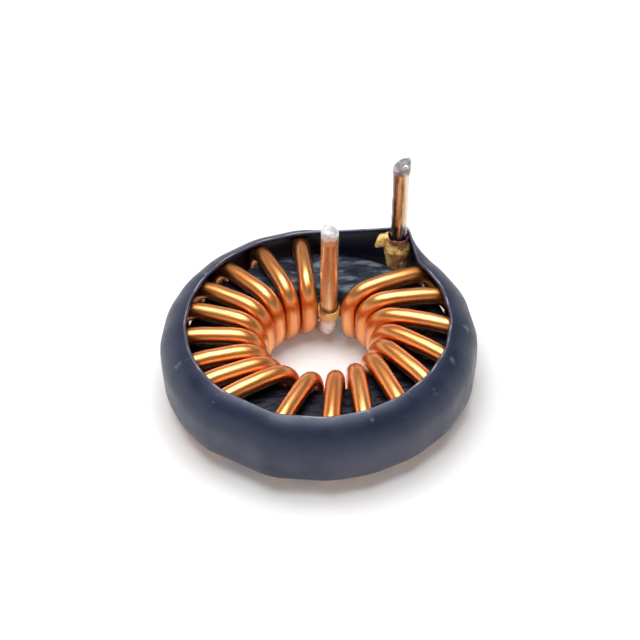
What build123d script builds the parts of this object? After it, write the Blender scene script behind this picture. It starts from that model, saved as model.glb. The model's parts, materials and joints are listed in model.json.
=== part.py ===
"""Toroidal power inductor: eighteen turns of thick enamelled wire on a flat powder core.

The axis of the ring is Z, the lowest turns rest on Z = 0 and both leads point up.
Azimuths are in degrees, clockwise from +Y as seen from above, so +X is at 90.
"""

from build123d import *
import math
import os

# Core: a pressed ring with bevelled edges
core_outer_diameter = 17.4
core_inner_diameter = 9.0
core_height = 2.65
core_outer_edge = 0.7
core_inner_edge = 0.8

# Wire and its seat on the core: the turns are many-sided, with a round wire's area, and the leads are round
wire_diameter = 1.15
wire_sides = 9
chord_angle = 22.5
bend_slack = 0.1
wire_gap = 0.07
turn_gap = 0.06

# Crown: each turn arches a little over the top of the core
crown_height = 0.25
crown_bend = 9.0
crown_straight = 0.1

# Turns: the steps from one turn to the next on the outside and in the hole
first_outer_azimuth = -6.6
outer_steps = [18.9, 18.5, 16.0, 14.5, 17.0, 16.5, 13.0, 12.5, 28.5]
outer_steps += [21.0, 14.0, 17.0, 17.0, 17.0, 19.5, 20.5, 17.0]
inner_steps = [17.5] * 9 + [22.5, 20.0, 19.3, 18.6, 18.6, 19.1, 18.6, 18.6, 19.0]
first_turn_room = 1.0
last_turn_room = 3.0

# Leads: both stand up beside the turns and lean a little towards +X
inner_lead_azimuth = 10.5
inner_lead_inset = 0.12
outer_lead_azimuth = 35.2
inner_lead_rise = 3.7
outer_lead_rise = 6.0
inner_lead_lean = 1.8
outer_lead_lean = 1.9
leads_round_above = 6.1

# Tinned ends of the leads, cut off at a slant with bevelled edges
inner_tin_length = 1.1
outer_tin_length = 1.05
tin_edge = 0.12
inner_tin_slant = 12.0
outer_tin_slant = 30.0

# Cuffs of old enamel where the leads were stripped
cuff_gap = 0.03
inner_cuff_bottom = 2.45
inner_cuff_length = 0.9
inner_cuff_wall = 0.11
inner_cuff_offset = 0.05
inner_cuff_slant = 14.0
outer_cuff_bottom = 3.3
outer_cuff_length = 2.55
outer_cuff_low_wall = 0.13
outer_cuff_wall = 0.19
outer_cuff_top_wall = 0.13
outer_cuff_widest = 1.75
outer_cuff_offset = 0.1

# Flap: a torn tongue of enamel that stands off the outer cuff
flap_height_on_cuff = 2.1
flap_length = 0.8
flap_width = 0.55
flap_thickness = 0.4
flap_edge = 0.12
flap_tilt = 12.0

# Film: a shrunk sleeve, flat between the turns that it leans on
film_wall = 0.25
film_gap = 0.04
film_top_radius = 2.0
film_top_angle = 73.0
film_side_angle = 6.0
film_low_radius = 2.0
film_low_angle = 20.0
film_lift = 0.3
contact_half_angle = 2.4

# Crease: the lay-flat corner of the sleeve, held off the turns beside the outer lead
crease_azimuth = 36.6
crease_offset = 0.33
crease_half_angle = 0.8
crease_top_angle = 5.0

# Places that follow from the sizes above
wire_radius = wire_diameter / 2
side_angle = 2 * math.pi / wire_sides
wire_corner_radius = wire_radius * math.sqrt(side_angle / math.sin(side_angle))
outer_run = core_outer_diameter / 2 + wire_gap + wire_radius
inner_run = core_inner_diameter / 2 - wire_gap - wire_radius
low_run = wire_radius
core_bottom = wire_diameter + wire_gap
core_top = core_bottom + core_height
high_run = core_top + wire_gap + wire_radius
winding_top = high_run + wire_radius
outer_bend = core_outer_edge + bend_slack + wire_gap + wire_radius
inner_bend = core_inner_edge + bend_slack + wire_gap + wire_radius
touching_step = 2 * math.degrees(math.asin((wire_diameter + turn_gap) / 2 / inner_run))


def place(radius, azimuth, height):
    """A point by its distance from the ring's axis, its azimuth and its height."""
    angle = math.radians(azimuth)
    return Vector(radius * math.sin(angle), radius * math.cos(angle), height)


def lead_plane(foot, lean, height):
    """The plane across a leaning lead at a height, with its normal along the lead."""
    slope = math.tan(math.radians(lean))
    along = Vector(slope, 0, 1)
    return Plane(origin=foot + along * (height - foot.Z), x_dir=(1, 0, -slope), z_dir=along)


# Each turn goes as far round the hole as its neighbour and the first lead leave room for
outer_azimuths = [first_outer_azimuth]
for step in outer_steps:
    outer_azimuths.append(outer_azimuths[-1] - step)
inner_azimuths = []
reached = inner_lead_azimuth - first_turn_room
last_free = inner_lead_azimuth - 360 + touching_step + last_turn_room
for step in inner_steps:
    reached -= max(step, touching_step)
    if reached >= last_free:
        inner_azimuths.append(reached)
turns = list(zip(outer_azimuths, inner_azimuths))

inner_foot = place(inner_run - inner_lead_inset, inner_lead_azimuth, low_run)
outer_foot = place(outer_run, outer_lead_azimuth, low_run)
inner_joint = lead_plane(inner_foot, inner_lead_lean, leads_round_above)
outer_joint = lead_plane(outer_foot, outer_lead_lean, leads_round_above)
inner_end = lead_plane(inner_foot, inner_lead_lean, winding_top + inner_lead_rise)
outer_end = lead_plane(outer_foot, outer_lead_lean, winding_top + outer_lead_rise)

# Powder core
with BuildPart() as core:
    with BuildSketch(Plane.XZ) as core_section:
        with Locations(((core_outer_diameter + core_inner_diameter) / 4, core_bottom + core_height / 2)):
            Rectangle((core_outer_diameter - core_inner_diameter) / 2, core_height)
        chamfer(core_section.vertices().group_by(Axis.X)[0], core_inner_edge)
        chamfer(core_section.vertices().group_by(Axis.X)[-1], core_outer_edge)
    revolve(axis=Axis.Z)

# Winding: one wire, down the hole, under the core and over it again at every turn
route = [inner_joint.origin, inner_foot]
bends = [inner_bend]
for outer_azimuth, inner_azimuth in turns:
    outer_top = place(outer_run, outer_azimuth, high_run)
    inner_top = place(inner_run, inner_azimuth, high_run)
    crown = (outer_top + inner_top) / 2 + Vector(0, 0, crown_height)
    half_span = (outer_top - inner_top).length / 2
    crown_room = half_span - max(outer_bend, inner_bend) - crown_straight
    flattest = crown_room * half_span / crown_height
    route += [place(outer_run, outer_azimuth, low_run), outer_top, crown]
    route += [inner_top, place(inner_run, inner_azimuth, low_run)]
    bends += [outer_bend, outer_bend, min(crown_bend, flattest), inner_bend, inner_bend]
route += [outer_foot, outer_joint.origin]
bends += [outer_bend]

with BuildPart() as winding:
    with BuildLine(mode=Mode.PRIVATE) as smooth_path:
        FilletPolyline(*route, radius=bends)
    stops = [inner_joint.origin]
    for edge in smooth_path.wires()[0].order_edges():
        chords = max(1, round((edge % 0).get_angle(edge % 1) / chord_angle))
        stops += [edge @ (chord / chords) for chord in range(1, chords + 1)]
    with BuildLine() as wire_path:
        Polyline(*stops)
    with BuildSketch(inner_joint):
        RegularPolygon(wire_corner_radius, wire_sides)
    sweep(path=wire_path.line, transition=Transition.RIGHT)
    turns_volume = winding.part.volume
    for joint, end in ((inner_joint, inner_end), (outer_joint, outer_end)):
        with BuildSketch(joint):
            Circle(wire_radius)
        extrude(amount=(end.origin - joint.origin).length)


def film_section(azimuth, wall, top_radius, top_angle, low_radius, low_angle):
    """The film's section at one azimuth, with its inner face at the radius given as wall."""
    out = place(1, azimuth, 0)
    with BuildSketch(Plane(origin=(0, 0, 0), x_dir=out, z_dir=(out.Y, -out.X, 0))) as section:
        with BuildLine():
            top = (wall - top_radius, high_run - outer_bend + film_lift)
            low = (wall - low_radius, low_run + outer_bend)
            inner_top = CenterArc(top, top_radius, 0, top_angle)
            outer_top = CenterArc(top, top_radius + film_wall, 0, top_angle)
            inner_low = CenterArc(low, low_radius, 0, -low_angle)
            outer_low = CenterArc(low, low_radius + film_wall, 0, -low_angle)
            Line(inner_top @ 0, inner_low @ 0)
            Line(outer_top @ 0, outer_low @ 0)
            Line(inner_top @ 1, outer_top @ 1)
            Line(inner_low @ 1, outer_low @ 1)
        make_face()
    return section.sketch


def film_over_turn(azimuth):
    """The narrow strip where the film leans on one turn. It folds further over the turns at the sides."""
    wall = outer_run + wire_radius + film_gap
    top_angle = film_top_angle + film_side_angle * math.sin(math.radians(azimuth)) ** 2
    arcs = (film_top_radius, top_angle, film_low_radius, film_low_angle)
    return [film_section(azimuth + side, wall, *arcs) for side in (contact_half_angle, -contact_half_angle)]


def film_at_crease(side):
    """One side of the crease, which stands almost straight, so the same width of film reaches higher."""
    wall = outer_run + wire_radius + film_gap + crease_offset
    straighter = film_top_angle / crease_top_angle
    top = (film_top_radius * straighter, film_top_angle / straighter)
    low = (film_low_radius * straighter, film_low_angle / straighter)
    return film_section(crease_azimuth + side * crease_half_angle, wall, *top, *low)


# Film sleeve, in two halves that meet across the crease and over a turn on the far side
half = len(turns) // 2
strips = [film_over_turn(azimuth) for azimuth, _ in turns]
near_half = [film_at_crease(-1)] + [section for strip in strips[:half] for section in strip]
far_half = [strips[half - 1][-1]] + [section for strip in strips[half:] for section in strip]
with BuildPart() as heat_shrink_film:
    loft(near_half, ruled=True)
    loft(far_half + [film_at_crease(1)], ruled=True)
    loft([film_at_crease(1), film_at_crease(-1)], ruled=True)

# Enamel cuff low on the inner lead, thicker towards the middle of the hole, with slanted ends
inner_cuff_plane = lead_plane(inner_foot, inner_lead_lean, inner_cuff_bottom)
with BuildPart() as inner_lead_cuff:
    with BuildSketch(inner_cuff_plane):
        with Locations((0, -inner_cuff_offset)):
            Circle(wire_radius + cuff_gap + inner_cuff_wall)
        Circle(wire_radius + cuff_gap, mode=Mode.SUBTRACT)
    extrude(amount=inner_cuff_length)
    slanted = inner_cuff_plane.rotated((inner_cuff_slant, 0, 0))
    drop = (wire_radius + cuff_gap) * math.tan(math.radians(inner_cuff_slant))
    split(bisect_by=slanted.offset(drop), keep=Keep.TOP)
    split(bisect_by=slanted.offset(inner_cuff_length - drop), keep=Keep.BOTTOM)

# Lumpy enamel cuff on the outer lead, widest above its middle, with a torn flap
outer_cuff_plane = lead_plane(outer_foot, outer_lead_lean, outer_cuff_bottom)
outer_cuff_centre = outer_cuff_plane.origin - place(outer_cuff_offset, outer_lead_azimuth, 0)
outer_cuff_side = Plane(origin=outer_cuff_centre, x_dir=outer_cuff_plane.x_dir, z_dir=-outer_cuff_plane.y_dir)
with BuildPart() as outer_lead_cuff:
    with BuildSketch(outer_cuff_side):
        with BuildLine():
            shell = Spline(
                (wire_radius + cuff_gap + outer_cuff_low_wall, 0),
                (wire_radius + cuff_gap + outer_cuff_wall, outer_cuff_widest),
                (wire_radius + cuff_gap + outer_cuff_top_wall, outer_cuff_length),
            )
            Polyline(shell @ 0, (0, 0), (0, outer_cuff_length), shell @ 1)
        make_face()
    revolve(axis=Axis(outer_cuff_centre, outer_cuff_plane.z_dir))
    flap_plane = outer_cuff_side.offset(-flap_thickness / 2)
    with BuildSketch(flap_plane):
        with Locations((-(wire_radius + flap_length) / 2, flap_height_on_cuff)):
            Rectangle(wire_radius + flap_length, flap_width, rotation=-flap_tilt)
    extrude(amount=flap_thickness)
    chamfer(outer_lead_cuff.faces().sort_by(Axis.X)[0].edges(), flap_edge)
    with BuildSketch(outer_cuff_plane):
        Circle(wire_radius + cuff_gap)
    extrude(amount=outer_cuff_length, both=True, mode=Mode.SUBTRACT)


def tinned_end(end, length, slant):
    """The tinned end of a lead: the wire's own width, cut at a slant with its edge bevelled."""
    with BuildPart() as tip:
        with BuildSketch(end):
            Circle(wire_radius)
        extrude(amount=length)
        reach = length - wire_radius * math.tan(math.radians(slant))
        split(bisect_by=end.offset(reach).rotated((0, slant, 0)), keep=Keep.BOTTOM)
        chamfer(tip.faces().sort_by(Axis.Z)[-1].edges(), tin_edge)
    return tip


inner_lead_tip = tinned_end(inner_end, inner_tin_length, inner_tin_slant)
outer_lead_tip = tinned_end(outer_end, outer_tin_length, -outer_tin_slant)

pieces = {
    "core": core,
    "winding": winding,
    "heat_shrink_film": heat_shrink_film,
    "inner_lead_cuff": inner_lead_cuff,
    "outer_lead_cuff": outer_lead_cuff,
    "inner_lead_tip": inner_lead_tip,
    "outer_lead_tip": outer_lead_tip,
}
os.makedirs("parts", exist_ok=True)
for name, piece in pieces.items():
    piece.part.label = name
    export_step(piece.part, f"parts/{name}.step")

wire_section = math.pi * wire_radius**2
wire_length = wire_path.wires()[0].length
print("turns", len(turns), "touching step", round(touching_step, 2))
print("length of the turns", round(wire_length, 1), "mm")
print("their volume over section times length", round(turns_volume / wire_section / wire_length, 5))
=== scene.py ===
# %% [markdown]
# # A toroidal power inductor
#
# The real object is a flat ring of pressed powder with thick enamelled copper wire wound round it.
# A dark heat-shrink film holds the outside of the turns. Both ends of the wire stand up as leads.
# The CAD model fixes the places and sizes. This script builds the finer shapes and the finishes on it.

import json
import math

import bmesh
import bpy
from mathutils import Matrix, Vector, noise

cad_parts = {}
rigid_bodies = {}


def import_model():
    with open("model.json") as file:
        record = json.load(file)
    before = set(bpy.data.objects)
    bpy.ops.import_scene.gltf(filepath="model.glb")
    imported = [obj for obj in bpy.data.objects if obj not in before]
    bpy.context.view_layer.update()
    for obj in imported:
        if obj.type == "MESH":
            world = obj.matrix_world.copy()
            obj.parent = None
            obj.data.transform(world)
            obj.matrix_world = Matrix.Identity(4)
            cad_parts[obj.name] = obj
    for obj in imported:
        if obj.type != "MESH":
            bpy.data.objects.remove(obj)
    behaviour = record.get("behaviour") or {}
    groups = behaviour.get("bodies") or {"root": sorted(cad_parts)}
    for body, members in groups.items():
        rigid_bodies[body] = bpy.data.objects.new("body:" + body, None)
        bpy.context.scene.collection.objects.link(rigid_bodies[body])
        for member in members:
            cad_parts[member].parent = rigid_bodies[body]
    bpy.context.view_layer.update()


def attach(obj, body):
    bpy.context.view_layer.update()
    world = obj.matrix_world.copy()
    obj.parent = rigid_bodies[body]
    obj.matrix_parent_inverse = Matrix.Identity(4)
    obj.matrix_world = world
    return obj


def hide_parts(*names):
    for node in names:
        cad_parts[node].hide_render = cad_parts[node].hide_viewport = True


bpy.ops.object.select_all(action="SELECT")
bpy.ops.object.delete()
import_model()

# %% [markdown]
# ## Sizes
#
# A wound part is mostly one wire and the core under it, so a few sizes place everything.
# They are the real ones, in metres, and match the CAD source.
# Azimuths are in degrees, clockwise from the back (+Y) as seen from above.

# %% Sizes of the core and the wire
MM = 0.001
CORE_OUTER_RADIUS = 8.7 * MM
CORE_INNER_RADIUS = 4.5 * MM
CORE_HEIGHT = 2.65 * MM
CORE_OUTER_EDGE = 0.8 * MM
CORE_INNER_EDGE = 0.9 * MM
WIRE_RADIUS = 0.575 * MM
WIRE_GAP = 0.07 * MM
TURN_GAP = 0.06 * MM
CROWN_HEIGHT = 0.25 * MM
CROWN_BEND = 9.0 * MM

LOW_RUN = WIRE_RADIUS
CORE_BOTTOM = 2 * WIRE_RADIUS + WIRE_GAP
CORE_TOP = CORE_BOTTOM + CORE_HEIGHT
HIGH_RUN = CORE_TOP + WIRE_GAP + WIRE_RADIUS
WINDING_TOP = HIGH_RUN + WIRE_RADIUS
OUTER_RUN = CORE_OUTER_RADIUS + WIRE_GAP + WIRE_RADIUS
INNER_RUN = CORE_INNER_RADIUS - WIRE_GAP - WIRE_RADIUS
OUTER_BEND = CORE_OUTER_EDGE + WIRE_GAP + WIRE_RADIUS
INNER_BEND = CORE_INNER_EDGE + WIRE_GAP + WIRE_RADIUS
WINDING_RADIUS = OUTER_RUN + WIRE_RADIUS
print("wound ring in mm", round(2000 * WINDING_RADIUS, 2), "across", round(1000 * WINDING_TOP, 2), "high")

# %% Where the turns and the leads stand
TOUCHING_STEP = 2 * math.degrees(math.asin((WIRE_RADIUS + TURN_GAP / 2) / INNER_RUN))
FIRST_OUTER = -6.6
OUTER_STEPS = [18.9, 18.5, 16.0, 14.5, 17.0, 16.5, 13.0, 12.5, 28.5]
OUTER_STEPS += [21.0, 14.0, 17.0, 17.0, 17.0, 19.5, 20.5, 17.0]
INNER_STEPS = [17.5] * 9 + [22.5, 20.0, 19.3, 18.6, 18.6, 19.1, 18.6, 18.6, 19.0]
FIRST_TURN_ROOM = 1.0
INNER_LEAD_INSET = 0.12 * MM
INNER_LEAD = {
    "azimuth": 10.5,
    "radius": INNER_RUN - INNER_LEAD_INSET,
    "lean": 1.8,
    "top": WINDING_TOP + 3.7 * MM,
}
OUTER_LEAD = {
    "azimuth": 35.2,
    "radius": OUTER_RUN,
    "lean": 1.9,
    "top": WINDING_TOP + 6.0 * MM,
}

outer_azimuths = [FIRST_OUTER]
for step in OUTER_STEPS:
    outer_azimuths.append(outer_azimuths[-1] - step)
inner_azimuths = []
reached = INNER_LEAD["azimuth"] - FIRST_TURN_ROOM
for step in INNER_STEPS:
    reached -= max(step, TOUCHING_STEP)
    inner_azimuths.append(reached)
turns = list(zip(outer_azimuths, inner_azimuths))
print("turns", len(turns))


# %% Places on the ring and on a lead
def place(radius, azimuth, height):
    """A point by its distance from the ring's axis, its azimuth and its height."""
    angle = math.radians(azimuth)
    return Vector((radius * math.sin(angle), radius * math.cos(angle), height))


def on_lead(lead, height):
    """The middle of a lead at a height. Both leads lean a little to the right as they rise."""
    foot = place(lead["radius"], lead["azimuth"], LOW_RUN)
    return foot + Vector((math.tan(math.radians(lead["lean"])), 0, 1)) * (height - LOW_RUN)


# %% [markdown]
# ## Helpers for the bench
#
# An operator acts on whatever is selected, so each new piece starts from an empty selection.
# Faces and points are picked in code, by their place. A finished piece keeps its object at the origin.


# %% Helpers for starting, picking and finishing
def start_clean():
    """Leaves edit mode and deselects everything."""
    if bpy.context.object and bpy.context.object.mode != "OBJECT":
        bpy.ops.object.mode_set(mode="OBJECT")
    bpy.ops.object.select_all(action="DESELECT")


def start_piece(name):
    """Names the primitive that was just added and puts its place into its mesh."""
    piece = bpy.context.object
    piece.name = name
    piece.data.name = name
    bpy.ops.object.transform_apply(location=True, rotation=True, scale=True)
    return piece


def pick(piece, kind, test):
    """Selects only the points ("verts") or the faces ("faces") whose middle passes the test."""
    bpy.ops.mesh.select_mode(type={"verts": "VERT", "faces": "FACE"}[kind])
    bpy.ops.mesh.select_all(action="DESELECT")
    mesh = bmesh.from_edit_mesh(piece.data)
    for element in getattr(mesh, kind):
        points = [element] if kind == "verts" else element.verts
        middle = sum((point.co for point in points), Vector()) / len(points)
        if test(middle):
            element.select_set(True)
    mesh.select_flush_mode()
    bmesh.update_edit_mesh(piece.data)


def add_modifier(piece, kind, **settings):
    """Adds a modifier with its settings and applies it."""
    modifier = piece.modifiers.new(kind.title(), kind)
    for key, value in settings.items():
        setattr(modifier, key, value)
    bpy.context.view_layer.objects.active = piece
    bpy.ops.object.modifier_apply(modifier=modifier.name)


def finish_piece(piece, node, angle):
    """Smooths the piece, lets it ride on the part and stand for its CAD node."""
    start_clean()
    piece.select_set(True)
    bpy.context.view_layer.objects.active = piece
    bpy.ops.object.shade_smooth_by_angle(angle=math.radians(angle))
    piece.select_set(False)
    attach(piece, "root")
    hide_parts(node)
    size = [round(1000 * x, 2) for x in piece.dimensions]
    print(piece.name, "mm", size, "faces", len(piece.data.polygons))


# %% [markdown]
# ## Helpers for the finishes
#
# Each finish is a Principled shader. What is the same all over is set on the shader's own socket,
# and what changes over the surface is worked out by nodes. Clicking them together by hand is slow to repeat,
# so a few helpers add them: a ramp from one range of numbers to another, a mix of two colours, and a sum.


# %% Start a finish, add a node, put the finish on
def start_finish(name, **constants):
    """A material, its nodes and its shader, with the constants set on the shader's own sockets."""
    finish = bpy.data.materials.new(name)
    finish.use_nodes = True
    shader = finish.node_tree.nodes["Principled BSDF"]
    for socket, value in constants.items():
        shader.inputs[socket.replace("_", " ")].default_value = value
    return finish, finish.node_tree, shader


def add_node(tree, kind, settings=None, **inputs):
    """A node with its settings. Each input is a value, or the socket that feeds it.

    An input goes by its name, or by its number: _0 is the first.
    """
    node = tree.nodes.new(kind)
    for key, value in (settings or {}).items():
        setattr(node, key, value)
    for key, value in inputs.items():
        number_or_name = int(key[1:]) if key[1:].isdigit() else key.replace("_", " ")
        socket = node.inputs[number_or_name]
        if isinstance(value, bpy.types.NodeSocket):
            tree.links.new(value, socket)
        else:
            socket.default_value = value
    return node


def feed_shader(tree, shader, colour, roughness, normal):
    """Links what changes over the surface to the shader."""
    tree.links.new(colour, shader.inputs["Base Color"])
    tree.links.new(roughness, shader.inputs["Roughness"])
    tree.links.new(normal, shader.inputs["Normal"])


def wear_finish(piece, finish):
    """Puts a finish on a piece, after any it already has."""
    piece.data.materials.append(finish)
    print(piece.name, "wears", finish.name)


# %% Ramps, mixes and sums
def ramp(tree, value, start, end, low=0.0, high=1.0, shape="LINEAR"):
    """Goes from low to high while the value goes from start to end, and holds still outside."""
    settings = {"interpolation_type": shape}
    limits = {"From_Min": start, "From_Max": end, "To_Min": low, "To_Max": high}
    return add_node(tree, "ShaderNodeMapRange", settings, Value=value, **limits).outputs["Result"]


def fade(tree, value, start, end, low=0.0, high=1.0):
    """A ramp that starts and ends softly."""
    return ramp(tree, value, start, end, low, high, "SMOOTHSTEP")


def mix(tree, share, first, second):
    """Goes from the first colour to the second as the share goes from 0 to 1."""
    return add_node(tree, "ShaderNodeMix", {"data_type": "RGBA"}, _0=share, _6=first, _7=second).outputs[2]


def work_out(tree, operation, *values):
    """One step of arithmetic on numbers or sockets."""
    inputs = {f"_{number}": value for number, value in enumerate(values)}
    return add_node(tree, "ShaderNodeMath", {"operation": operation}, **inputs).outputs[0]


def split(tree, vector):
    """The X, Y and Z of a place, a direction or a set of masks."""
    return add_node(tree, "ShaderNodeSeparateXYZ", Vector=vector).outputs


def object_place(tree):
    """The place on the piece, as its mesh has it."""
    return add_node(tree, "ShaderNodeTexCoord").outputs["Object"]


# %% [markdown]
# Two effects are used by every finish on the part: cloudy patches between a dark and a light colour,
# and fine grain that feeds a bump. They could be built again in each material.
# As node groups they are built once, and each material places them with its own values.


# %% Start a group, and place it in a material
def start_group(name, inputs, outputs):
    """A node group with its sockets, and the nodes that stand for its two ends."""
    group = bpy.data.node_groups.new(name, "ShaderNodeTree")
    for direction, sockets in (("INPUT", inputs), ("OUTPUT", outputs)):
        for socket, kind in sockets.items():
            group.interface.new_socket(name=socket, in_out=direction, socket_type="NodeSocket" + kind)
    return group, group.nodes.new("NodeGroupInput"), group.nodes.new("NodeGroupOutput")


def place_group(tree, group, **inputs):
    """What the group puts out in a material, with its own values."""
    return add_node(tree, "ShaderNodeGroup", {"node_tree": group}, **inputs).outputs


# %% The group of cloudy patches
clouds_inputs = {"Vector": "Vector", "Scale": "Float", "Dark until": "Float", "Light from": "Float"}
clouds_inputs |= {"Dark": "Color", "Light": "Color"}
clouds_outputs = {"Color": "Color", "Mask": "Float"}
clouds, clouds_in, clouds_out = start_group("cloudy_patches", clouds_inputs, clouds_outputs)
patches = add_node(
    clouds,
    "ShaderNodeTexNoise",
    Vector=clouds_in.outputs["Vector"],
    Scale=clouds_in.outputs["Scale"],
    Detail=4.0,
    Roughness=0.6,
)
patch_mask = fade(
    clouds,
    patches.outputs["Fac"],
    start=clouds_in.outputs["Dark until"],
    end=clouds_in.outputs["Light from"],
)
patch_colour = mix(clouds, patch_mask, clouds_in.outputs["Dark"], clouds_in.outputs["Light"])
clouds.links.new(patch_colour, clouds_out.inputs["Color"])
clouds.links.new(patch_mask, clouds_out.inputs["Mask"])

# %% The group of fine grain
grain_inputs = {"Vector": "Vector", "Scale": "Float", "Distance": "Float"}
grain_outputs = {"Normal": "Vector", "Height": "Float"}
grain, grain_in, grain_out = start_group("fine_grain", grain_inputs, grain_outputs)
grain_noise = add_node(
    grain,
    "ShaderNodeTexNoise",
    Vector=grain_in.outputs["Vector"],
    Scale=grain_in.outputs["Scale"],
    Detail=5.0,
    Roughness=0.55,
)
grain_bump = add_node(
    grain,
    "ShaderNodeBump",
    Height=grain_noise.outputs["Fac"],
    Distance=grain_in.outputs["Distance"],
    Strength=1.0,
)
grain.links.new(grain_bump.outputs["Normal"], grain_out.inputs["Normal"])
grain.links.new(grain_noise.outputs["Fac"], grain_out.inputs["Height"])
print("groups", [group.name for group in bpy.data.node_groups])

# %% [markdown]
# ## The core
#
# The core is powder pressed in a ring-shaped die, so its section is the same all the way round.
# A turned shape like this is a section and a spin: a rectangle with rounded corners, turned about the axis.

# %% Press the core
CORE_TURNING_STEPS = 144
start_clean()
middle_radius = (CORE_OUTER_RADIUS + CORE_INNER_RADIUS) / 2
bpy.ops.mesh.primitive_plane_add(
    size=1, location=(middle_radius, 0, CORE_BOTTOM + CORE_HEIGHT / 2), rotation=(math.pi / 2, 0, 0)
)
bpy.context.object.scale = (CORE_OUTER_RADIUS - CORE_INNER_RADIUS, CORE_HEIGHT, 1)
core = start_piece("powder_core")
bpy.ops.object.mode_set(mode="EDIT")
rounding = {"offset_type": "OFFSET", "affect": "VERTICES", "clamp_overlap": False}
pick(core, "verts", lambda middle: middle.x > middle_radius)
bpy.ops.mesh.bevel(offset=CORE_OUTER_EDGE, segments=6, **rounding)
pick(core, "verts", lambda middle: middle.x < CORE_INNER_RADIUS + CORE_INNER_EDGE / 4)
bpy.ops.mesh.bevel(offset=CORE_INNER_EDGE, segments=5, **rounding)
bpy.ops.mesh.select_all(action="SELECT")
bpy.ops.mesh.delete(type="ONLY_FACE")
bpy.ops.mesh.select_all(action="SELECT")
bpy.ops.mesh.spin(steps=CORE_TURNING_STEPS, angle=2 * math.pi, center=(0, 0, 0), axis=(0, 0, 1))
bpy.ops.mesh.select_all(action="SELECT")
bpy.ops.mesh.remove_doubles(threshold=0.002 * MM)
bpy.ops.mesh.normals_make_consistent(inside=False)
bpy.ops.object.mode_set(mode="OBJECT")
finish_piece(core, "core", angle=40)

# %% [markdown]
# The core is coated with dark epoxy. Its near-black colour at the front is painted shade. Towards the back it
# has broad blue-grey streaks, partly brush streaks and partly painted soft highlights. Noise that is
# stretched along one direction gives streaks.
# A rough bump makes the coating glint between the turns, and a bluish tint keeps the glints cool.

# %% Coat the core
FRONT_EPOXY_PAINTED_SHADE = (0.003, 0.003, 0.008, 1)
BRUSH_ANGLE = 0.35
BRUSH_STRETCH = 0.35
epoxy, tree, shader = start_finish(
    "epoxy_coating", Specular_IOR_Level=0.4, Specular_Tint=(0.72, 0.82, 1.0, 1)
)
coordinates = object_place(tree)
brushing = add_node(
    tree,
    "ShaderNodeMapping",
    Vector=coordinates,
    Rotation=(0, 0, BRUSH_ANGLE),
    Scale=(BRUSH_STRETCH, 1.0, 1.0),
)
brushed = brushing.outputs["Vector"]
streaks = place_group(
    tree,
    clouds,
    Vector=brushed,
    Scale=1500.0,
    Dark_until=0.46,
    Light_from=0.7,
    Dark=(0.016, 0.019, 0.030, 1),
    Light=(0.17, 0.19, 0.235, 1),
)
# Near black at the front is painted shade. The paler streaks towards the back are partly painted soft
# highlights.
to_the_back = fade(tree, split(tree, coordinates)["Y"], start=2 * MM, end=6 * MM, low=0.04)
streaks_and_painted_light = mix(tree, to_the_back, FRONT_EPOXY_PAINTED_SHADE, streaks["Color"])
coat_grain = place_group(tree, grain, Vector=brushed, Scale=2600.0, Distance=0.05 * MM)
rough = ramp(tree, coat_grain["Height"], start=0.35, end=0.6, low=0.1, high=0.5)
feed_shader(tree, shader, streaks_and_painted_light, rough, coat_grain["Normal"])
wear_finish(core, epoxy)


# %% [markdown]
# ## The wire
#
# The winding is one length of wire, so it is one piece from lead to lead.
# It could be a curve with a round bevel. Here it is wound as the maker winds it: a ring of vertices
# is pushed along each straight run by extruding it, and turned round each corner by a spin.
# Each ring is then a known distance along the wire, which the finish needs.

# %% Corner points of the wire, from the top of the inner lead to the top of the outer lead
WIRE_SIDES = 28
BEND_STEP_ANGLE = 11.0
LEAD_STEP = 0.25 * MM
corners = [on_lead(INNER_LEAD, INNER_LEAD["top"]), on_lead(INNER_LEAD, LOW_RUN)]
bends = [INNER_BEND]
for outer_azimuth, inner_azimuth in turns:
    outer_top = place(OUTER_RUN, outer_azimuth, HIGH_RUN)
    inner_top = place(INNER_RUN, inner_azimuth, HIGH_RUN)
    crown = (outer_top + inner_top) / 2 + Vector((0, 0, CROWN_HEIGHT))
    corners += [place(OUTER_RUN, outer_azimuth, LOW_RUN), outer_top, crown]
    corners += [inner_top, place(INNER_RUN, inner_azimuth, LOW_RUN)]
    bends += [OUTER_BEND, OUTER_BEND, CROWN_BEND, INNER_BEND, INNER_BEND]
corners += [on_lead(OUTER_LEAD, LOW_RUN), on_lead(OUTER_LEAD, OUTER_LEAD["top"])]
bends += [OUTER_BEND]
print("corner points", len(corners), "bends", len(bends))

# %% Start the wire as one ring at the top of the inner lead
start_clean()
inner_lean = math.radians(INNER_LEAD["lean"])
bpy.ops.mesh.primitive_circle_add(
    vertices=WIRE_SIDES, radius=WIRE_RADIUS, location=corners[0], rotation=(0, inner_lean, 0)
)
wire = start_piece("copper_wire")
run_data = wire.data.attributes.new("wire_run", "FLOAT_VECTOR", "POINT")
for vertex, datum in zip(wire.data.vertices, run_data.data):
    across = vertex.co - corners[0]
    datum.vector = (across.x, across.y, 0)
bpy.ops.object.mode_set(mode="EDIT")
bpy.ops.mesh.select_all(action="SELECT")
ring_distance = [0.0]


# %% Wind the wire from corner to corner
def run_straight(move, steps=1):
    """Pushes the wire along a straight run, with as many rings as steps."""
    for _ in range(steps):
        bpy.ops.mesh.extrude_region_move(TRANSFORM_OT_translate={"value": move / steps})
        ring_distance.append(ring_distance[-1] + move.length / steps)


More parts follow.
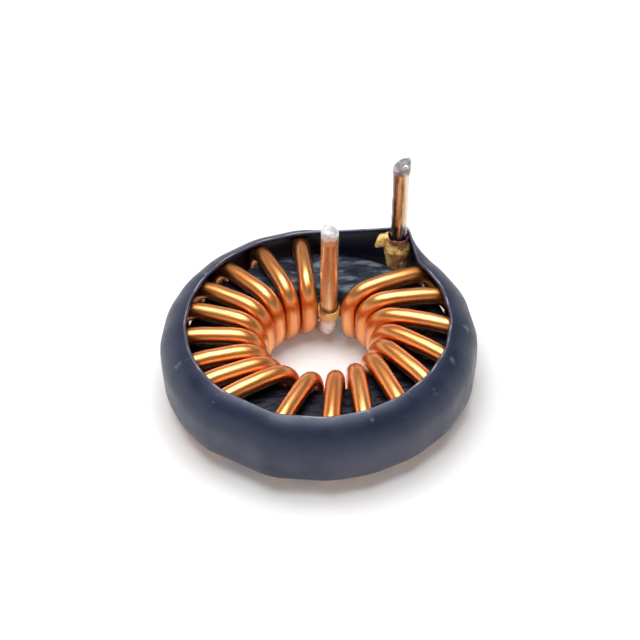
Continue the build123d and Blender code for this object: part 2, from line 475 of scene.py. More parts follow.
at = corners[0]
for before, corner, after, bend in zip(corners, corners[1:], corners[2:], bends):
    going = (corner - before).normalized()
    leaving = (after - corner).normalized()
    turn = going.angle(leaving)
    bend_start = corner - going * bend * math.tan(turn / 2)
    centre = corner + (leaving - going).normalized() * bend / math.cos(turn / 2)
    straight = bend_start - at
    on_the_inner_lead = before == corners[0]
    run_straight(straight, round(straight.length / LEAD_STEP) if on_the_inner_lead else 1)
    steps = math.ceil(math.degrees(turn) / BEND_STEP_ANGLE)
    bpy.ops.mesh.spin(steps=steps, angle=-turn, center=centre, axis=going.cross(leaving).normalized())
    ring_distance += [ring_distance[-1] + bend * turn * (step + 1) / steps for step in range(steps)]
    at = corner + leaving * bend * math.tan(turn / 2)
run_straight(corners[-1] - at, round((corners[-1] - at).length / LEAD_STEP))
bpy.ops.object.mode_set(mode="OBJECT")
last_ring = wire.data.vertices[len(wire.data.vertices) - WIRE_SIDES :]
drift = (sum((v.co for v in last_ring), Vector()) / WIRE_SIDES - corners[-1]).length
print("wire ends", round(1000 * drift, 4), "mm from the top of the outer lead")
print("rings", len(ring_distance), len(wire.data.vertices) / WIRE_SIDES)
print("length of the wire in mm", round(1000 * ring_distance[-1], 1))

# %% Write the distance along the wire on its rings
for index, datum in enumerate(wire.data.attributes["wire_run"].data):
    datum.vector.z = ring_distance[index // WIRE_SIDES]

# %% [markdown]
# Stripping scraped the outer lead, so above its cuff it is thinner and uneven.
# Each point there is moved towards the middle of the lead, by a depth that noise varies.

# %% Scrape the outer lead thinner
SCRAPED_ABOVE = 6.3 * MM
SCRAPED_DEPTH = 0.07 * MM
LEAST_SCRAPED = 0.4
SCRAPE_SIZE = 0.5 * MM
scraped_points = 0
for index, vertex in enumerate(wire.data.vertices):
    ring = index // WIRE_SIDES
    if ring_distance[-1] - ring_distance[ring] < OUTER_LEAD["top"] - SCRAPED_ABOVE:
        middle = on_lead(OUTER_LEAD, vertex.co.z)
        dents = noise.noise(vertex.co / SCRAPE_SIZE) * 0.5 + 0.5
        vertex.co -= (vertex.co - middle).normalized() * SCRAPED_DEPTH * (LEAST_SCRAPED + dents)
        scraped_points += 1
print("points scraped", scraped_points)

# %% Close the ends of the wire
AROUND_THE_WIRE = 1.1 * WIRE_RADIUS
bpy.ops.object.mode_set(mode="EDIT")
for end in (corners[0], corners[-1]):
    pick(wire, "verts", lambda middle, end=end: (middle - end).length < AROUND_THE_WIRE)
    bpy.ops.mesh.edge_face_add()
bpy.ops.mesh.select_all(action="SELECT")
bpy.ops.mesh.normals_make_consistent(inside=False)
bpy.ops.object.mode_set(mode="OBJECT")
finish_piece(wire, "winding", angle=60)

# %% [markdown]
# The turns keep their enamel: an amber varnish over copper. It reflects as a tinted metal under a clear coat.
# Faint streaks were drawn along the wire. The rings carry their place on the wire,
# so noise that is stretched along that place follows every bend.


# %% Enamel the wire
def along_wire(tree, stretch):
    """The place on the wire, across it and along it. A small stretch makes long streaks."""
    run = add_node(tree, "ShaderNodeAttribute", {"attribute_name": "wire_run"}).outputs["Vector"]
    return add_node(tree, "ShaderNodeMapping", Vector=run, Scale=(1.0, 1.0, stretch)).outputs["Vector"]


enamel, tree, shader = start_finish(
    "enamelled_copper", Metallic=1.0, Coat_Weight=0.85, Coat_Roughness=0.22, Coat_IOR=1.65
)
drawn = along_wire(tree, stretch=0.1)
streaks = place_group(
    tree,
    clouds,
    Vector=drawn,
    Scale=2600.0,
    Dark_until=0.35,
    Light_from=0.68,
    Dark=(0.84, 0.265, 0.05, 1),
    Light=(0.98, 0.42, 0.12, 1),
)
drawn_grain = place_group(tree, grain, Vector=drawn, Scale=9000.0, Distance=0.008 * MM)
rough = ramp(tree, drawn_grain["Height"], start=0.3, end=0.7, low=0.3, high=0.4)
feed_shader(tree, shader, streaks["Color"], rough, drawn_grain["Normal"])
wear_finish(wire, enamel)

# %% [markdown]
# Above their cuffs the leads are bare copper, scraped in long streaks. The outer lead's dark left side is
# painted shade, and the inner one's bright left and the pale strip along the right of both are painted
# reflections of the white surroundings.
# The finish tells the sides apart by the way a face points, to -X or to +X.
# The outer lead is sooty just above its cuff. Noise moves each of these borders, so none is a clean line.

# %% Colours of bare copper, and how far its borders wander
DARK_SOOT = (0.035, 0.02, 0.022, 1)
LIGHT_SOOT = (0.26, 0.2, 0.23, 1)
SIDE_WANDER = 0.25
SOOT_WANDER = 0.5 * MM


def bare_copper(name, dark_streak, light_streak, left_painted_light, right_painted_reflection, clean_from, sooty_until):
    """Copper in streaks, with a colour of painted light for each side: painted shade where dark, a painted
    reflection where pale. It is clean from one height and sooty below another.
    """
    finish, tree, shader = start_finish(name, Metallic=0.85, Coat_Weight=0.6, Coat_Roughness=0.15)
    scraped = along_wire(tree, stretch=0.09)
    streaks = place_group(
        tree,
        clouds,
        Vector=scraped,
        Scale=3400.0,
        Dark_until=0.32,
        Light_from=0.68,
        Dark=dark_streak,
        Light=light_streak,
    )
    coordinates = add_node(tree, "ShaderNodeTexCoord").outputs
    to_the_right = split(tree, coordinates["Normal"])["X"]
    # Faces that point to -X or +X get the side colours: painted shade and painted reflections, with borders
    # broken by noise.
    side = work_out(tree, "MULTIPLY_ADD", streaks["Mask"], SIDE_WANDER, to_the_right)
    left = fade(tree, side, start=-0.2, end=-0.6)
    right = fade(tree, side, start=0.6, end=0.85)
    broken = ramp(tree, streaks["Mask"], start=0.0, end=1.0, low=0.45, high=1.0)
    painted_reflection = work_out(tree, "MULTIPLY", right, broken)
    painted_sides = mix(tree, painted_reflection, mix(tree, left, streaks["Color"], left_painted_light), right_painted_reflection)
    height = split(tree, coordinates["Object"])["Z"]
    ragged = work_out(tree, "MULTIPLY_ADD", streaks["Mask"], -SOOT_WANDER, height)
    sooty = fade(tree, ragged, start=clean_from, end=sooty_until)
    soot = place_group(
        tree,
        clouds,
        Vector=scraped,
        Scale=5200.0,
        Dark_until=0.4,
        Light_from=0.62,
        Dark=DARK_SOOT,
        Light=LIGHT_SOOT,
    )
    scratches = place_group(tree, grain, Vector=scraped, Scale=6000.0, Distance=0.012 * MM)
    rough = ramp(tree, scratches["Height"], start=0.3, end=0.7, low=0.22, high=0.42)
    feed_shader(tree, shader, mix(tree, sooty, painted_sides, soot["Color"]), rough, scratches["Normal"])
    return finish


# %% Bare copper for each lead
# The pale side colours are painted reflections. The outer lead's dark left is painted shade.
bare_inner = bare_copper(
    "bare_inner_lead",
    dark_streak=(0.6, 0.31, 0.12, 1),
    light_streak=(0.88, 0.56, 0.28, 1),
    left_painted_light=(1.0, 0.76, 0.5, 1),
    right_painted_reflection=(0.96, 0.72, 0.54, 1),
    clean_from=0,
    sooty_until=-1 * MM,
)
bare_outer = bare_copper(
    "bare_outer_lead",
    dark_streak=(0.56, 0.33, 0.14, 1),
    light_streak=(1.0, 0.84, 0.56, 1),
    left_painted_light=(0.16, 0.07, 0.03, 1),
    right_painted_reflection=(0.95, 0.74, 0.62, 1),
    clean_from=6.9 * MM,
    sooty_until=6.3 * MM,
)

# %% [markdown]
# Below its cuff the inner lead still has enamel, but the heat turned it milky. It is a thick, glossy coat
# that shows little metal, with soft runs in it. Its pale, near-white colour is partly the milky enamel and
# partly a painted reflection of the white sheet.

# %% Cloudy enamel for the foot of the inner lead
cloudy, tree, shader = start_finish("milky_enamel_and_painted_reflection", Metallic=0.2, Coat_Weight=1.0, Coat_Roughness=0.08)
coordinates = object_place(tree)
# The near-white colours are partly a painted reflection of the white sheet.
milk_and_painted_reflection = place_group(
    tree,
    clouds,
    Vector=coordinates,
    Scale=1300.0,
    Dark_until=0.38,
    Light_from=0.6,
    Dark=(0.88, 0.58, 0.45, 1),
    Light=(1.0, 0.92, 0.88, 1),
)
runs = place_group(tree, grain, Vector=coordinates, Scale=1800.0, Distance=0.04 * MM)
rough = ramp(tree, milk_and_painted_reflection["Mask"], start=0.0, end=1.0, low=0.2, high=0.4)
feed_shader(tree, shader, milk_and_painted_reflection["Color"], rough, runs["Normal"])

# %% [markdown]
# A piece can wear several finishes, and each face has the number of the one it shows.
# A lead's faces are found by their height and their distance from the middle of the lead.
# Where two stretches overlap, the later one wins.

# %% Strip the leads
STRETCHES = (
    (cloudy, INNER_LEAD, 0.9 * MM),
    (bare_inner, INNER_LEAD, 2.9 * MM),
    (bare_outer, OUTER_LEAD, 5.0 * MM),
)
for number, (finish, lead, above) in enumerate(STRETCHES, start=1):
    wear_finish(wire, finish)
    for face in wire.data.polygons:
        if face.center.z > above and (face.center - on_lead(lead, face.center.z)).length < AROUND_THE_WIRE:
            face.material_index = number
print("faces of the leads", sum(face.material_index > 0 for face in wire.data.polygons))


# %% [markdown]
# ## The heat-shrink film
#
# The film is a sleeve that was shrunk over the wound ring. It is taut, so it leans on each turn in a narrow
# strip and runs flat from one to the next. Its lay-flat corner stands off the turns beside the outer lead.
# A cloth simulation could shrink it, but its shape is known. So it starts as a flat grid: each column
# of the grid becomes one rib of the sleeve, and modifiers give the sheet its thickness and its soft edges.

# %% Sizes of the film
FILM_WALL = 0.25 * MM
FILM_GAP = 0.04 * MM
FILM_LIFT = 0.3 * MM
CONTACT_HALF_ANGLE = 2.4
OVER_A_TURN = {
    "offset": 0.0,
    "top_radius": 2.0 * MM,
    "top_wrap": 73.0,
    "low_radius": 2.0 * MM,
    "low_wrap": 20.0,
}
MORE_AT_THE_SIDES = 6.0
CREASE_OFFSET = 0.33 * MM
CREASE_TOP_WRAP = 5.0
STRAIGHTER = OVER_A_TURN["top_wrap"] / CREASE_TOP_WRAP
AT_THE_CREASE = {
    "offset": CREASE_OFFSET,
    "top_radius": OVER_A_TURN["top_radius"] * STRAIGHTER,
    "top_wrap": OVER_A_TURN["top_wrap"] / STRAIGHTER,
    "low_radius": OVER_A_TURN["low_radius"] * STRAIGHTER,
    "low_wrap": OVER_A_TURN["low_wrap"] / STRAIGHTER,
}
CREASE_AZIMUTH = 36.6
CREASE_HALF_ANGLE = 0.8
LOW_ARC_STEPS = 3
WALL_STEPS = 3
TOP_ARC_STEPS = 9
PANEL_STEP_ANGLE = 2.6


# %% A rib of the film
def film_rib(azimuth, offset, top_radius, top_wrap, low_radius, low_wrap):
    """Points up the outer face of the film at one azimuth, from its lower rim to its upper rim."""
    wall = OUTER_RUN + WIRE_RADIUS + FILM_GAP + FILM_WALL + offset
    top_height = HIGH_RUN - OUTER_BEND + FILM_LIFT
    low_height = LOW_RUN + OUTER_BEND
    points = []
    for step in range(LOW_ARC_STEPS):
        angle = math.radians(low_wrap) * (1 - step / LOW_ARC_STEPS)
        reach = low_radius + FILM_WALL
        points.append((wall - reach * (1 - math.cos(angle)), low_height - reach * math.sin(angle)))
    for step in range(WALL_STEPS):
        points.append((wall, low_height + (top_height - low_height) * step / WALL_STEPS))
    for step in range(TOP_ARC_STEPS + 1):
        angle = math.radians(top_wrap) * step / TOP_ARC_STEPS
        reach = top_radius + FILM_WALL
        points.append((wall - reach * (1 - math.cos(angle)), top_height + reach * math.sin(angle)))
    return [place(radius, azimuth, height) for radius, height in points]


# %% Where the ribs stand
main_ribs = []


def add_main_rib(azimuth, **form):
    """Keeps a rib where the film leans on a turn or turns its crease."""
    main_ribs.append((azimuth, film_rib(azimuth, **form)))


add_main_rib(CREASE_AZIMUTH - CREASE_HALF_ANGLE, **AT_THE_CREASE)
for outer_azimuth in outer_azimuths:
    wrap = OVER_A_TURN["top_wrap"] + MORE_AT_THE_SIDES * math.sin(math.radians(outer_azimuth)) ** 2
    for side in (CONTACT_HALF_ANGLE, -CONTACT_HALF_ANGLE):
        add_main_rib(outer_azimuth + side, **(OVER_A_TURN | {"top_wrap": wrap}))
add_main_rib(CREASE_AZIMUTH + CREASE_HALF_ANGLE - 360, **AT_THE_CREASE)
first_azimuth, first_rib = main_ribs[0]
main_ribs.append((first_azimuth - 360, first_rib))

# %% Ribs in between, so that each panel bends softly
ribs = [first_rib]
ridges = [1.0]
for (azimuth, rib), (next_azimuth, next_rib) in zip(main_ribs, main_ribs[1:]):
    steps = max(2, round((azimuth - next_azimuth) / PANEL_STEP_ANGLE))
    for step in range(1, steps + 1):
        ribs.append([a.lerp(b, step / steps) for a, b in zip(rib, next_rib)])
        ridges.append(abs(2 * step / steps - 1))
print("ribs", len(ribs), "points in each", len(ribs[0]))

# %% Roll the sheet into a sleeve
RIDGES_ABOVE_STEP = LOW_ARC_STEPS + WALL_STEPS + TOP_ARC_STEPS / 2
start_clean()
bpy.ops.mesh.primitive_grid_add(x_subdivisions=len(ribs) - 1, y_subdivisions=len(ribs[0]) - 1, size=1)
film = start_piece("shrunk_film")
film_mask_data = film.data.attributes.new("wear", "FLOAT_VECTOR", "POINT")
for index, vertex in enumerate(film.data.vertices):
    height_step, rib_step = divmod(index, len(ribs))
    vertex.co = ribs[rib_step][height_step]
    at_rim = 1.0 if height_step == len(ribs[0]) - 1 else 0.0
    at_ridge = ridges[rib_step] if height_step > RIDGES_ABOVE_STEP else 0.0
    film_mask_data.data[index].vector = (at_rim, at_ridge, 0)
bpy.ops.object.mode_set(mode="EDIT")
bpy.ops.mesh.select_all(action="SELECT")
bpy.ops.mesh.remove_doubles(threshold=0.001 * MM)
bpy.ops.mesh.normals_make_consistent(inside=False)
bpy.ops.object.mode_set(mode="OBJECT")

# %% Give the sheet its wall and soft edges, and mark its inside
FACES_INWARDS = -0.2
outward = sum(face.normal.dot(Vector((face.center.x, face.center.y, 0))) for face in film.data.polygons)
print("film faces outwards", outward > 0)
add_modifier(film, "SOLIDIFY", thickness=FILM_WALL, offset=-1 if outward > 0 else 1)
add_modifier(film, "SUBSURF", levels=2, render_levels=2)
finish_piece(film, "heat_shrink_film", angle=60)
for vertex, datum in zip(film.data.vertices, film.data.attributes["wear"].data):
    away_from_axis = Vector((vertex.co.x, vertex.co.y, 0)).normalized()
    datum.vector.z = float(vertex.normal.dot(away_from_axis) < FACES_INWARDS)

# %% [markdown]
# The film is a dark blue-grey plastic, satin, a little uneven where it shrank. Paler patches low down are a
# painted reflection of the white sheet. The ridges where it is stretched over a turn are partly scuffed and
# partly painted glints.
# Its paler, patchy rim is a painted highlight, and its inside is a darker blue, painted shade. The sheet
# carries three masks
# for this: the rim, the ridges and the inside. The finish is built up in layers: the plain tones, the painted
# reflection, scuffs and glints, the rim, and the inside last.

# %% The film's plain tones and its masks
satin, tree, shader = start_finish("satin_film", Specular_IOR_Level=0.7, Specular_Tint=(0.8, 0.86, 1.0, 1))
coordinates = object_place(tree)
film_masks = split(tree, add_node(tree, "ShaderNodeAttribute", {"attribute_name": "wear"}).outputs["Vector"])
rim_mask = film_masks["X"]
ridge_mask = film_masks["Y"]
inside_mask = film_masks["Z"]
tones = place_group(
    tree,
    clouds,
    Vector=coordinates,
    Scale=260.0,
    Dark_until=0.35,
    Light_from=0.7,
    Dark=(0.005, 0.009, 0.030, 1),
    Light=(0.013, 0.016, 0.046, 1),
)

# %% Painted reflection low down, and scuffs and painted glints on the ridges
PAINTED_SHEET_REFLECTION = (0.05, 0.047, 0.072, 1)
SCUFF_AND_GLINT = (0.16, 0.19, 0.24, 1)
# Paler patches low down are a painted reflection of the white sheet.
low_down = fade(tree, split(tree, coordinates)["Z"], start=4.4 * MM, end=1.8 * MM)
low_reflection_patches = place_group(tree, clouds, Vector=coordinates, Scale=130.0, Dark_until=0.36, Light_from=0.62)
low_painted_reflection = work_out(tree, "MULTIPLY", low_down, low_reflection_patches["Mask"])
with_low_reflection = mix(tree, low_painted_reflection, tones["Color"], PAINTED_SHEET_REFLECTION)
# The ridges are partly scuffed and partly carry painted glints.
ridge = ramp(tree, ridge_mask, start=0.55, end=1.0, high=0.7)
scuff_and_glint_patches = place_group(tree, clouds, Vector=coordinates, Scale=900.0, Dark_until=0.56, Light_from=0.66)
scuffed_and_glinting = work_out(tree, "MULTIPLY", ridge, scuff_and_glint_patches["Mask"])
with_scuffs_and_glints = mix(tree, scuffed_and_glinting, with_low_reflection, SCUFF_AND_GLINT)

# %% The rim's painted highlight, the painted shade inside, and the grain
# The inside of the same film gets a darker, bluer colour: painted shade.
INSIDE_PAINTED_SHADE = (0.006, 0.006, 0.034, 1)
# The paler rim, in patches, is a painted highlight where light catches the cut edge.
painted_rim_highlight = fade(tree, rim_mask, start=0.35, end=0.9, high=0.85)
rim_highlight_patches = place_group(
    tree,
    clouds,
    Vector=coordinates,
    Scale=750.0,
    Dark_until=0.48,
    Light_from=0.64,
    Dark=(0.15, 0.145, 0.16, 1),
    Light=(0.55, 0.5, 0.5, 1),
)
with_rim_highlight = mix(tree, painted_rim_highlight, with_scuffs_and_glints, rim_highlight_patches["Color"])
film_colour = mix(tree, inside_mask, with_rim_highlight, INSIDE_PAINTED_SHADE)
film_grain = place_group(tree, grain, Vector=coordinates, Scale=700.0, Distance=0.03 * MM)
rough = ramp(tree, film_grain["Height"], start=0.3, end=0.7, low=0.34, high=0.48)
feed_shader(tree, shader, film_colour, rough, film_grain["Normal"])
wear_finish(film, satin)


# %% [markdown]
# ## What stripping left on the leads
#
# The enamel was burnt off the leads before they were tinned. A lumpy cuff of old enamel stays on each lead.
# A cuff is a ring of vertices extruded up the lead, wider and narrower from step to step.


# %% A stack of rings along a lead
def stack_rings(name, lead, bottom, rings, shift):
    """Extrudes a circle up a lead. Each ring is a height above the bottom and a radius."""
    start_clean()
    lean = math.radians(lead["lean"])
    bpy.ops.mesh.primitive_circle_add(
        vertices=32, radius=rings[0][1], location=on_lead(lead, bottom) + shift, rotation=(0, lean, 0)
    )
    piece = start_piece(name)
    bpy.ops.object.mode_set(mode="EDIT")
    bpy.ops.mesh.select_mode(type="VERT")
    bpy.ops.mesh.select_all(action="SELECT")
    for (height, radius), (next_height, next_radius) in zip(rings, rings[1:]):
        rise = on_lead(lead, bottom + next_height) - on_lead(lead, bottom + height)
        bpy.ops.mesh.extrude_region_move(TRANSFORM_OT_translate={"value": rise})
        grow = next_radius / radius
        middle = on_lead(lead, bottom + next_height) + shift
        bpy.ops.transform.resize(value=(grow, grow, 1), center_override=middle)
    bpy.ops.object.mode_set(mode="OBJECT")
    return piece


def give_wall(piece, thickness):
    """Turns the stack into a wall of that thickness with soft edges."""
    add_modifier(piece, "SOLIDIFY", thickness=thickness, offset=-1)
    add_modifier(piece, "SUBSURF", levels=2, render_levels=2)


# %% [markdown]
# The cuff on the outer lead bulges in its middle, and a torn flap of enamel sticks out of it to the left.
# The flap is drawn out of the faces where it grows: they are extruded three times, smaller each time.
# Clouds displace the finished wall, so it is lumpy.

# %% The cuff on the outer lead
OUTER_CUFF_BOTTOM = 3.3 * MM
OUTER_CUFF_SHIFT = place(-0.1 * MM, OUTER_LEAD["azimuth"], 0)
OUTER_CUFF_RINGS = [(0.0, 0.62), (0.35, 0.64), (0.75, 0.68), (1.1, 0.76), (1.45, 0.81)]
OUTER_CUFF_RINGS += [(1.7, 0.79), (1.9, 0.73), (2.2, 0.7), (2.55, 0.63)]
outer_rings = [(height * MM, radius * MM) for height, radius in OUTER_CUFF_RINGS]
outer_cuff = stack_rings("outer_cuff", OUTER_LEAD, OUTER_CUFF_BOTTOM, outer_rings, OUTER_CUFF_SHIFT)

# %% Draw the torn flap out, and make the cuff lumpy
FLAP_HEIGHT = 2.1 * MM
FLAP_STARTS = 0.6 * MM
FLAP_HALF_SIZE = 0.3 * MM
FLAP_PULLS = (0.2, 0.25, 0.2)
FLAP_DROOP = 0.15
FLAP_TAPER = (1, 0.92, 0.95)
flap_root = on_lead(OUTER_LEAD, OUTER_CUFF_BOTTOM + FLAP_HEIGHT)


def under_the_flap(middle):
    """Whether the flap grows out of a face with this middle."""
    at_the_left = middle.x < flap_root.x - FLAP_STARTS
    near_in_depth = abs(middle.y - flap_root.y) < FLAP_HALF_SIZE
    near_in_height = abs(middle.z - flap_root.z) < FLAP_HALF_SIZE
    return at_the_left and near_in_depth and near_in_height


bpy.ops.object.mode_set(mode="EDIT")
pick(outer_cuff, "faces", under_the_flap)
for pull in FLAP_PULLS:
    step_out = (-pull * MM, 0, -FLAP_DROOP * pull * MM)
    bpy.ops.mesh.extrude_region_move(TRANSFORM_OT_translate={"value": step_out})
    bpy.ops.transform.resize(value=FLAP_TAPER, center_override=flap_root)
bpy.ops.object.mode_set(mode="OBJECT")
give_wall(outer_cuff, thickness=0.08 * MM)
lumps = bpy.data.textures.new("outer_cuff_clouds", "CLOUDS")
lumps.noise_scale = 0.45 * MM
lump_settings = {"texture": lumps, "texture_coords": "GLOBAL", "strength": 0.2 * MM, "mid_level": 0.5}
add_modifier(outer_cuff, "DISPLACE", **lump_settings)
finish_piece(outer_cuff, "outer_lead_cuff", angle=60)

# %% [markdown]
# The cuff low on the inner lead is a short band, cut at a slant. It is built level and then tilted.

# %% The cuff on the inner lead
INNER_CUFF_BOTTOM = 2.45 * MM
INNER_CUFF_RADIUS = WIRE_RADIUS + 0.14 * MM
INNER_CUFF_SHIFT = Vector((0, -0.03 * MM, 0))
INNER_CUFF_RINGS = [(0.0, 0.92), (0.15, 1.0), (0.72, 0.98), (0.92, 0.87)]
INNER_CUFF_MIDDLE = 0.45 * MM
INNER_CUFF_SLANT = 14
inner_rings = [(height * MM, INNER_CUFF_RADIUS * share) for height, share in INNER_CUFF_RINGS]
inner_cuff = stack_rings("inner_cuff", INNER_LEAD, INNER_CUFF_BOTTOM, inner_rings, INNER_CUFF_SHIFT)
tilt_about = on_lead(INNER_LEAD, INNER_CUFF_BOTTOM + INNER_CUFF_MIDDLE)
bpy.ops.object.mode_set(mode="EDIT")
bpy.ops.mesh.select_all(action="SELECT")
bpy.ops.transform.rotate(value=-math.radians(INNER_CUFF_SLANT), orient_axis="X", center_override=tilt_about)
bpy.ops.object.mode_set(mode="OBJECT")
give_wall(inner_cuff, thickness=0.06 * MM)
finish_piece(inner_cuff, "inner_lead_cuff", angle=60)

# %% [markdown]
# The old enamel on the cuffs is varnish, glossy and uneven: tan where it is thin, brown where it charred,
# and red-brown where it burnt. One function makes both finishes. The outer cuff is burnt towards its top,
# but not on its flap. The inner one, low in the hole, is yellower and burnt along its upper edge.

# %% Colour of burnt enamel, and how soft and ragged its border is
BURNT_ENAMEL = (0.17, 0.05, 0.028, 1)
BURN_WANDER = 0.4 * MM
BURN_HALF_FADE = 0.2 * MM
BURN_SIDE_FADE = 0.15 * MM


def old_enamel(name, dark, light, scale, burnt_above, burnt_right_of):
    """Glossy varnish with charred patches, red-brown above a height and to the right of a place."""
    finish, tree, shader = start_finish(name, Coat_Weight=0.8, Coat_Roughness=0.1)
    coordinates = object_place(tree)
    char = place_group(
        tree,
        clouds,
        Vector=coordinates,
        Scale=scale,
        Dark_until=0.36,
        Light_from=0.56,
        Dark=dark,
        Light=light,
    )
    place_on_it = split(tree, coordinates)
    ragged = work_out(tree, "MULTIPLY_ADD", char["Mask"], -BURN_WANDER, place_on_it["Z"])
    high_up = fade(tree, ragged, start=burnt_above - BURN_HALF_FADE, end=burnt_above + BURN_HALF_FADE)
    beside = ramp(tree, place_on_it["X"], start=burnt_right_of, end=burnt_right_of + BURN_SIDE_FADE)
    burnt = work_out(tree, "MULTIPLY", high_up, beside)
    browned = mix(tree, burnt, char["Color"], BURNT_ENAMEL)
    lumps = place_group(tree, grain, Vector=coordinates, Scale=2200.0, Distance=0.12 * MM)
    rough = ramp(tree, lumps["Height"], start=0.3, end=0.7, low=0.25, high=0.5)
    feed_shader(tree, shader, browned, rough, lumps["Normal"])
    return finish


# %% Finish both cuffs
charred = old_enamel(
    "charred_enamel",
    dark=(0.5, 0.22, 0.055, 1),
    light=(1.0, 0.68, 0.22, 1),
    scale=1100.0,
    burnt_above=5.05 * MM,
    burnt_right_of=flap_root.x - 0.72 * MM,
)
wear_finish(outer_cuff, charred)
yellow = old_enamel(
    "yellow_enamel",
    dark=(0.98, 0.46, 0.07, 1),
    light=(1.0, 0.76, 0.24, 1),
    scale=900.0,
    burnt_above=3.1 * MM,
    burnt_right_of=-CORE_OUTER_RADIUS,
)
wear_finish(inner_cuff, yellow)


# %% [markdown]
# ## The tinned ends
#
# Each lead was snipped off at a slant and dipped in solder, which rounded the cut.
# A cylinder is cut by a plane with bisect, and the edge of the cut is bevelled.


# %% Tin the ends of the leads
def tinned_end(name, lead, length, slant, node):
    """The end of a lead above its copper: a cylinder cut at a slant, its edge rounded by the solder."""
    start_clean()
    foot = on_lead(lead, lead["top"])
    lean = math.radians(lead["lean"])
    along = (on_lead(lead, lead["top"] + length) - foot).normalized()
    middle = foot + along * length / 2
    bpy.ops.mesh.primitive_cylinder_add(
        vertices=40, radius=WIRE_RADIUS, depth=length, location=middle, rotation=(0, lean, 0)
    )
    tip = start_piece(name)
    bpy.ops.object.mode_set(mode="EDIT")
    bpy.ops.mesh.select_all(action="SELECT")
    reach = length - WIRE_RADIUS * math.tan(math.radians(abs(slant)))
    across = Matrix.Rotation(lean + math.radians(slant), 3, "Y") @ Vector((0, 0, 1))
    bpy.ops.mesh.bisect(plane_co=foot + along * reach, plane_no=across, use_fill=True, clear_outer=True)
    bpy.ops.mesh.bevel(offset=0.2 * MM, segments=5, affect="EDGES")
    bpy.ops.object.mode_set(mode="OBJECT")
    finish_piece(tip, node, angle=50)
    return tip


inner_tip = tinned_end("inner_tin", INNER_LEAD, length=1.1 * MM, slant=12, node="inner_lead_tip")
outer_tip = tinned_end("outer_tin", OUTER_LEAD, length=1.05 * MM, slant=-30, node="outer_lead_tip")

# %% [markdown]
# Solder is a soft grey metal. It froze in small dents, which break the reflections up, and in dull patches.
# It thins out downwards, where the copper shows through. The inner tip's near-white colour is partly a
# painted highlight, and the outer one is dull.

# %% Colour of the copper under the solder, and how soft and ragged the solder's edge is
COPPER_UNDER_TIN = (0.86, 0.5, 0.26, 1)
TIN_WANDER = 0.2 * MM
TIN_FADE = 0.12 * MM


def frozen_solder(name, dark, light, tinned_above):
    """Tin with dents and dull patches above a height, and copper below it."""
    finish, tree, shader = start_finish(name, Metallic=0.85)
    coordinates = object_place(tree)
    patches = place_group(
        tree,
        clouds,
        Vector=coordinates,
        Scale=2400.0,
        Dark_until=0.36,
        Light_from=0.62,
        Dark=dark,
        Light=light,
    )
    ragged = work_out(tree, "MULTIPLY_ADD", patches["Mask"], -TIN_WANDER, split(tree, coordinates)["Z"])
    tinned = fade(tree, ragged, start=tinned_above - TIN_FADE, end=tinned_above)
    solder_colour = mix(tree, tinned, COPPER_UNDER_TIN, patches["Color"])
    dents = place_group(tree, grain, Vector=coordinates, Scale=1300.0, Distance=0.04 * MM)
    rough = ramp(tree, patches["Mask"], start=0.0, end=1.0, low=0.5, high=0.36)
    feed_shader(tree, shader, solder_colour, rough, dents["Normal"])
    return finish


# %% Finish both tips
# The inner tip's near-white colour is partly a painted highlight.
bright = frozen_solder(
    "solder_with_painted_highlight", dark=(0.9, 0.89, 0.88, 1), light=(0.98, 0.98, 0.97, 1), tinned_above=9.2 * MM
)
wear_finish(inner_tip, bright)
dull = frozen_solder(
    "dull_solder", dark=(0.26, 0.235, 0.24, 1), light=(0.58, 0.54, 0.54, 1), tinned_above=11.12 * MM
)
wear_finish(outer_tip, dull)


# %% [markdown]
# ## Stage, light and camera
#
# The part stands on a white sheet under soft light from above. To the camera and in reflections a share
# of the sheet is plain white: a studio's white background, with no more light on the part.
# The share grows away from the part. Close by it is small, so the sheet still takes the ring's soft shadow.

# %% The white sheet
SHEET_HEIGHT = -0.02 * MM
start_clean()
bpy.ops.mesh.primitive_plane_add(size=0.8, location=(0, 0, SHEET_HEIGHT))
floor = start_piece("floor")
sheet, tree, shader = start_finish(
    "white_sheet", Base_Color=(0.88, 0.875, 0.87, 1), Roughness=0.9, Specular_IOR_Level=0.0
)
rays = add_node(tree, "ShaderNodeLightPath").outputs
camera_or_gloss = work_out(tree, "MAXIMUM", rays["Is Camera Ray"], rays["Is Glossy Ray"])
seen = work_out(tree, "MAXIMUM", camera_or_gloss, rays["Is Transmission Ray"])
outwards = add_node(tree, "ShaderNodeVectorMath", {"operation": "LENGTH"}, _0=object_place(tree))
white_share = fade(tree, outwards.outputs["Value"], start=12 * MM, end=50 * MM, low=0.12, high=0.9)
share = work_out(tree, "MULTIPLY", seen, white_share)
white = add_node(tree, "ShaderNodeEmission", Color=(1, 1, 1, 1), Strength=1.0)
surfaces = {"_1": shader.outputs["BSDF"], "_2": white.outputs["Emission"]}
blend = add_node(tree, "ShaderNodeMixShader", _0=share, **surfaces)
tree.links.new(blend.outputs["Shader"], tree.nodes["Material Output"].inputs["Surface"])
wear_finish(floor, sheet)

# %% [markdown]
# The camera stands where the photograph was taken from. It looks down by the tilt and is turned by a roll,
# and its distance is in half widths of the ring. The ring isn't quite in the middle of the photograph.
# The lens could be shifted for that. Here the camera moves aside and up, so that it suits other views too.

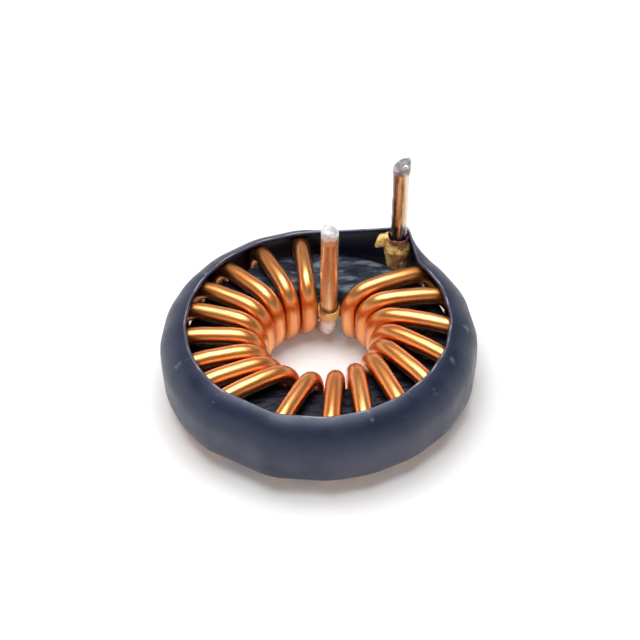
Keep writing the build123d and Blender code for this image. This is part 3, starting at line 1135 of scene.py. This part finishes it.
# %% The camera, at the photograph's place
CAMERA_TILT = math.radians(42.72)
CAMERA_ROLL = math.radians(1.94)
CAMERA_DISTANCE = 10.78
FOCAL_PIXELS = 1699.035
IMAGE_WIDTH = 640
MIDDLE_PIXEL = (318.8854, 350.7935)
HALF_WIDTH = 10.2 * MM
AIM = Vector((0, 0, 2.667 * MM))
SENSOR_WIDTH = 36
forward = Vector((0, math.cos(CAMERA_TILT), -math.sin(CAMERA_TILT)))
level_up = Vector((0, math.sin(CAMERA_TILT), math.cos(CAMERA_TILT)))
right = math.cos(CAMERA_ROLL) * Vector((1, 0, 0)) - math.sin(CAMERA_ROLL) * level_up
up = math.sin(CAMERA_ROLL) * Vector((1, 0, 0)) + math.cos(CAMERA_ROLL) * level_up
aside = (MIDDLE_PIXEL[0] - IMAGE_WIDTH / 2) * CAMERA_DISTANCE / FOCAL_PIXELS
above = (IMAGE_WIDTH / 2 - MIDDLE_PIXEL[1]) * CAMERA_DISTANCE / FOCAL_PIXELS
camera_data = bpy.data.cameras.new("camera")
camera_data.sensor_width = SENSOR_WIDTH
camera_data.lens = FOCAL_PIXELS / IMAGE_WIDTH * SENSOR_WIDTH
camera_data.clip_start = 1 * MM
camera_data.clip_end = 10
camera = bpy.data.objects.new("camera", camera_data)
bpy.context.scene.collection.objects.link(camera)
camera.location = AIM - (aside * right + above * up + CAMERA_DISTANCE * forward) * HALF_WIDTH
camera.rotation_mode = "QUATERNION"
camera.rotation_quaternion = Matrix((right, up, -forward)).transposed().to_quaternion()
bpy.context.scene.camera = camera
print("lens", round(camera_data.lens, 2), "camera at mm", [round(1000 * x, 2) for x in camera.location])

# %% [markdown]
# The light is one square soft box above the part, a little to the back and the left.
# A large lamp gives the soft highlights on the turns. A small one would draw a sharp line on each.

# %% Soft light from above
LAMP_PLACE = Vector((-0.01, 0.02, 0.21))
lamp = bpy.data.lights.new("softbox_above", "AREA")
lamp.size = 0.165
lamp.energy = 0.56
lamp_holder = bpy.data.objects.new("softbox_above", lamp)
bpy.context.scene.collection.objects.link(lamp_holder)
lamp_holder.location = LAMP_PLACE
lamp_holder.rotation_mode = "QUATERNION"
lamp_holder.rotation_quaternion = (-LAMP_PLACE).to_track_quat("-Z", "Y")
print("soft box", round(lamp.size, 3), "m wide at", round(LAMP_PLACE.length, 3), "m")

# %% [markdown]
# The room around is pale low down, for the sides of the turns to mirror. It is darker overhead, so that the
# soft box stands out in the reflections, and a little darker to the right.

# %% A pale room, darker overhead
world = bpy.data.worlds.new("room")
bpy.context.scene.world = world
world.use_nodes = True
room = world.node_tree
compass = split(room, add_node(room, "ShaderNodeTexCoord").outputs["Generated"])
overhead = fade(room, compass["Z"], start=0.2, end=0.55, low=1.0, high=0.16)
sideways = ramp(room, compass["X"], start=-0.7, end=0.7, low=1.08, high=0.82)
background = room.nodes["Background"]
background.inputs["Color"].default_value = (0.97, 0.98, 1.0, 1)
room.links.new(work_out(room, "MULTIPLY", overhead, sideways), background.inputs["Strength"])
bpy.context.scene.view_settings.view_transform = "Standard"
print("view", bpy.context.scene.view_settings.view_transform)
